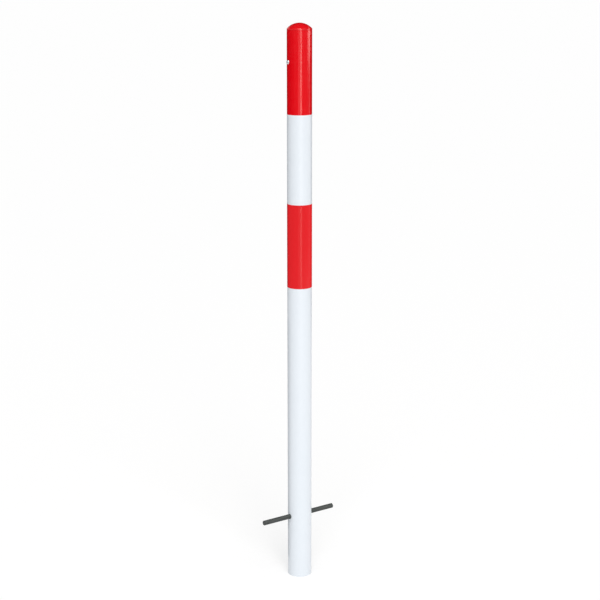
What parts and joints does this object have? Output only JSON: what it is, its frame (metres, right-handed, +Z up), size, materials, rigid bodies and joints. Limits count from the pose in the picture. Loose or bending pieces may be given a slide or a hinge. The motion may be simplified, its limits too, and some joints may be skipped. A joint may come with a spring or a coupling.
{
  "type": "barrier post",
  "caption": "Round steel barrier post in red and white with a domed plug cap, a red film band, a closed chain point and a cross bar that anchors it in concrete.",
  "frame": {"origin": "centre of the tube's sawn foot, on its axis", "axes": "+Z up the tube, +X along the anchor bar towards its shorter end; the picture looks from azimuth -34"},
  "size_m": [0.21, 0.061, 1.4],
  "materials": {
    "white_coat": "satin white coat, glossy red above 1185.5 mm",
    "red_plastic": "gloss",
    "red_film": "satin retroreflective film",
    "dark_steel": "rolled, oxide black",
    "zinc": "bright zinc"
  },
  "bodies": {
    "root": {"tube": "white_coat", "end_cap": "red_plastic", "red_band": "red_film", "anchor_bar": "dark_steel", "thread_insert": "zinc", "chain_screw": "zinc"}
  },
  "joints": []
}
